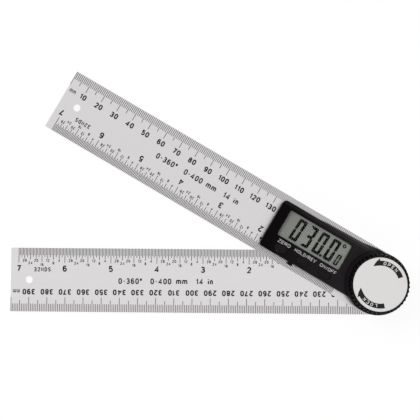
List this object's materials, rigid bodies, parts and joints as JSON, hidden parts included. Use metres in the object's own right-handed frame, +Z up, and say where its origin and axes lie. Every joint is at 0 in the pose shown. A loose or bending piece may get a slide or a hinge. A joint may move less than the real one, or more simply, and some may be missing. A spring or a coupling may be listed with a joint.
{
  "type": "digital angle finder",
  "caption": "Two flat steel rules pinned at their round ends, with a display housing, a side battery tray and a ribbed clamping knob over the pivot.",
  "frame": {"origin": "on the pivot axis, at the underside of the lower rule, where the pivot post's head lies flush", "axes": "+Z up out of the rules towards the knob; the lower rule lies along -X with its metric edge towards -Y; the upper rule is opened 30 degrees from it towards +Y"},
  "size_m": [0.2175, 0.1327, 0.016],
  "materials": {
    "rule_steel": "satin, fine brushing along the rule",
    "turned_steel": "turned",
    "brass": "turned",
    "white_nylon": "moulded",
    "black_abs": "fine spark-eroded texture",
    "button_black": "smooth",
    "clear_lens": "polished acrylic",
    "display_glass": "grey-green polariser",
    "strip_rubber": "matte",
    "board_green": "solder mask",
    "chip_black": "epoxy",
    "component_tan": "fired",
    "cell_steel": "bright",
    "label_grey": "satin printed foil"
  },
  "bodies": {
    "lower_rule": {"lower_arm": "rule_steel", "pivot_post": "turned_steel", "gap_washer": "white_nylon", "disc_spring": "turned_steel", "rotor_carrier": "brass", "rotor_disc": "board_green", "retaining_ring": "turned_steel"},
    "upper_rule": {"upper_arm": "rule_steel", "hub_bush": "brass", "housing": "black_abs", "housing_screws": "turned_steel", "display_lens": "clear_lens", "lcd_panel": "display_glass", "lcd_frame": "white_nylon", "zebra_strip": "strip_rubber", "circuit_board": "board_green", "board_screws": "turned_steel", "chip_cover": "chip_black", "board_components": "component_tan", "dome_contacts": "turned_steel", "battery_contact_positive": "turned_steel", "battery_contact_negative": "turned_steel"},
    "zero_key": {"zero_button": "button_black"},
    "hold_key": {"hold_button": "button_black"},
    "power_key": {"power_button": "button_black"},
    "tray": {"battery_tray": "black_abs", "coin_cell": "cell_steel"},
    "clamp_washer": {"thrust_washer": "turned_steel"},
    "clamp_knob": {"knob": "black_abs", "knob_insert": "brass", "knob_label": "label_grey"}
  },
  "joints": [
    {"name": "arm_pivot", "type": "hinge", "parent": "lower_rule", "child": "upper_rule", "pos_m": [0, 0, 0], "axis": [0, 0, 1], "continuous": true},
    {"name": "thrust_lift", "type": "slide", "parent": "lower_rule", "child": "clamp_washer", "axis": [0, 0, 1], "range_m": [0, 0.00034]},
    {"name": "knob_turn", "type": "hinge", "parent": "clamp_washer", "child": "clamp_knob", "pos_m": [0, 0, 0], "axis": [0, 0, 1], "range_deg": [0, 120]},
    {"name": "zero_press", "type": "slide", "parent": "upper_rule", "child": "zero_key", "axis": [0, 0, -1], "range_m": [0, 0.0004], "stiffness_N_per_m": 3000},
    {"name": "hold_press", "type": "slide", "parent": "upper_rule", "child": "hold_key", "axis": [0, 0, -1], "range_m": [0, 0.0004], "stiffness_N_per_m": 3000},
    {"name": "power_press", "type": "slide", "parent": "upper_rule", "child": "power_key", "axis": [0, 0, -1], "range_m": [0, 0.0004], "stiffness_N_per_m": 3000},
    {"name": "tray_slide", "type": "slide", "parent": "upper_rule", "child": "tray", "axis": [-0.5, -0.866, 0], "range_m": [0, 0.024]}
  ],
  "couplings": [
    {"joint": "thrust_lift", "follows": "knob_turn", "m_per_rad": 0.00015915}
  ]
}
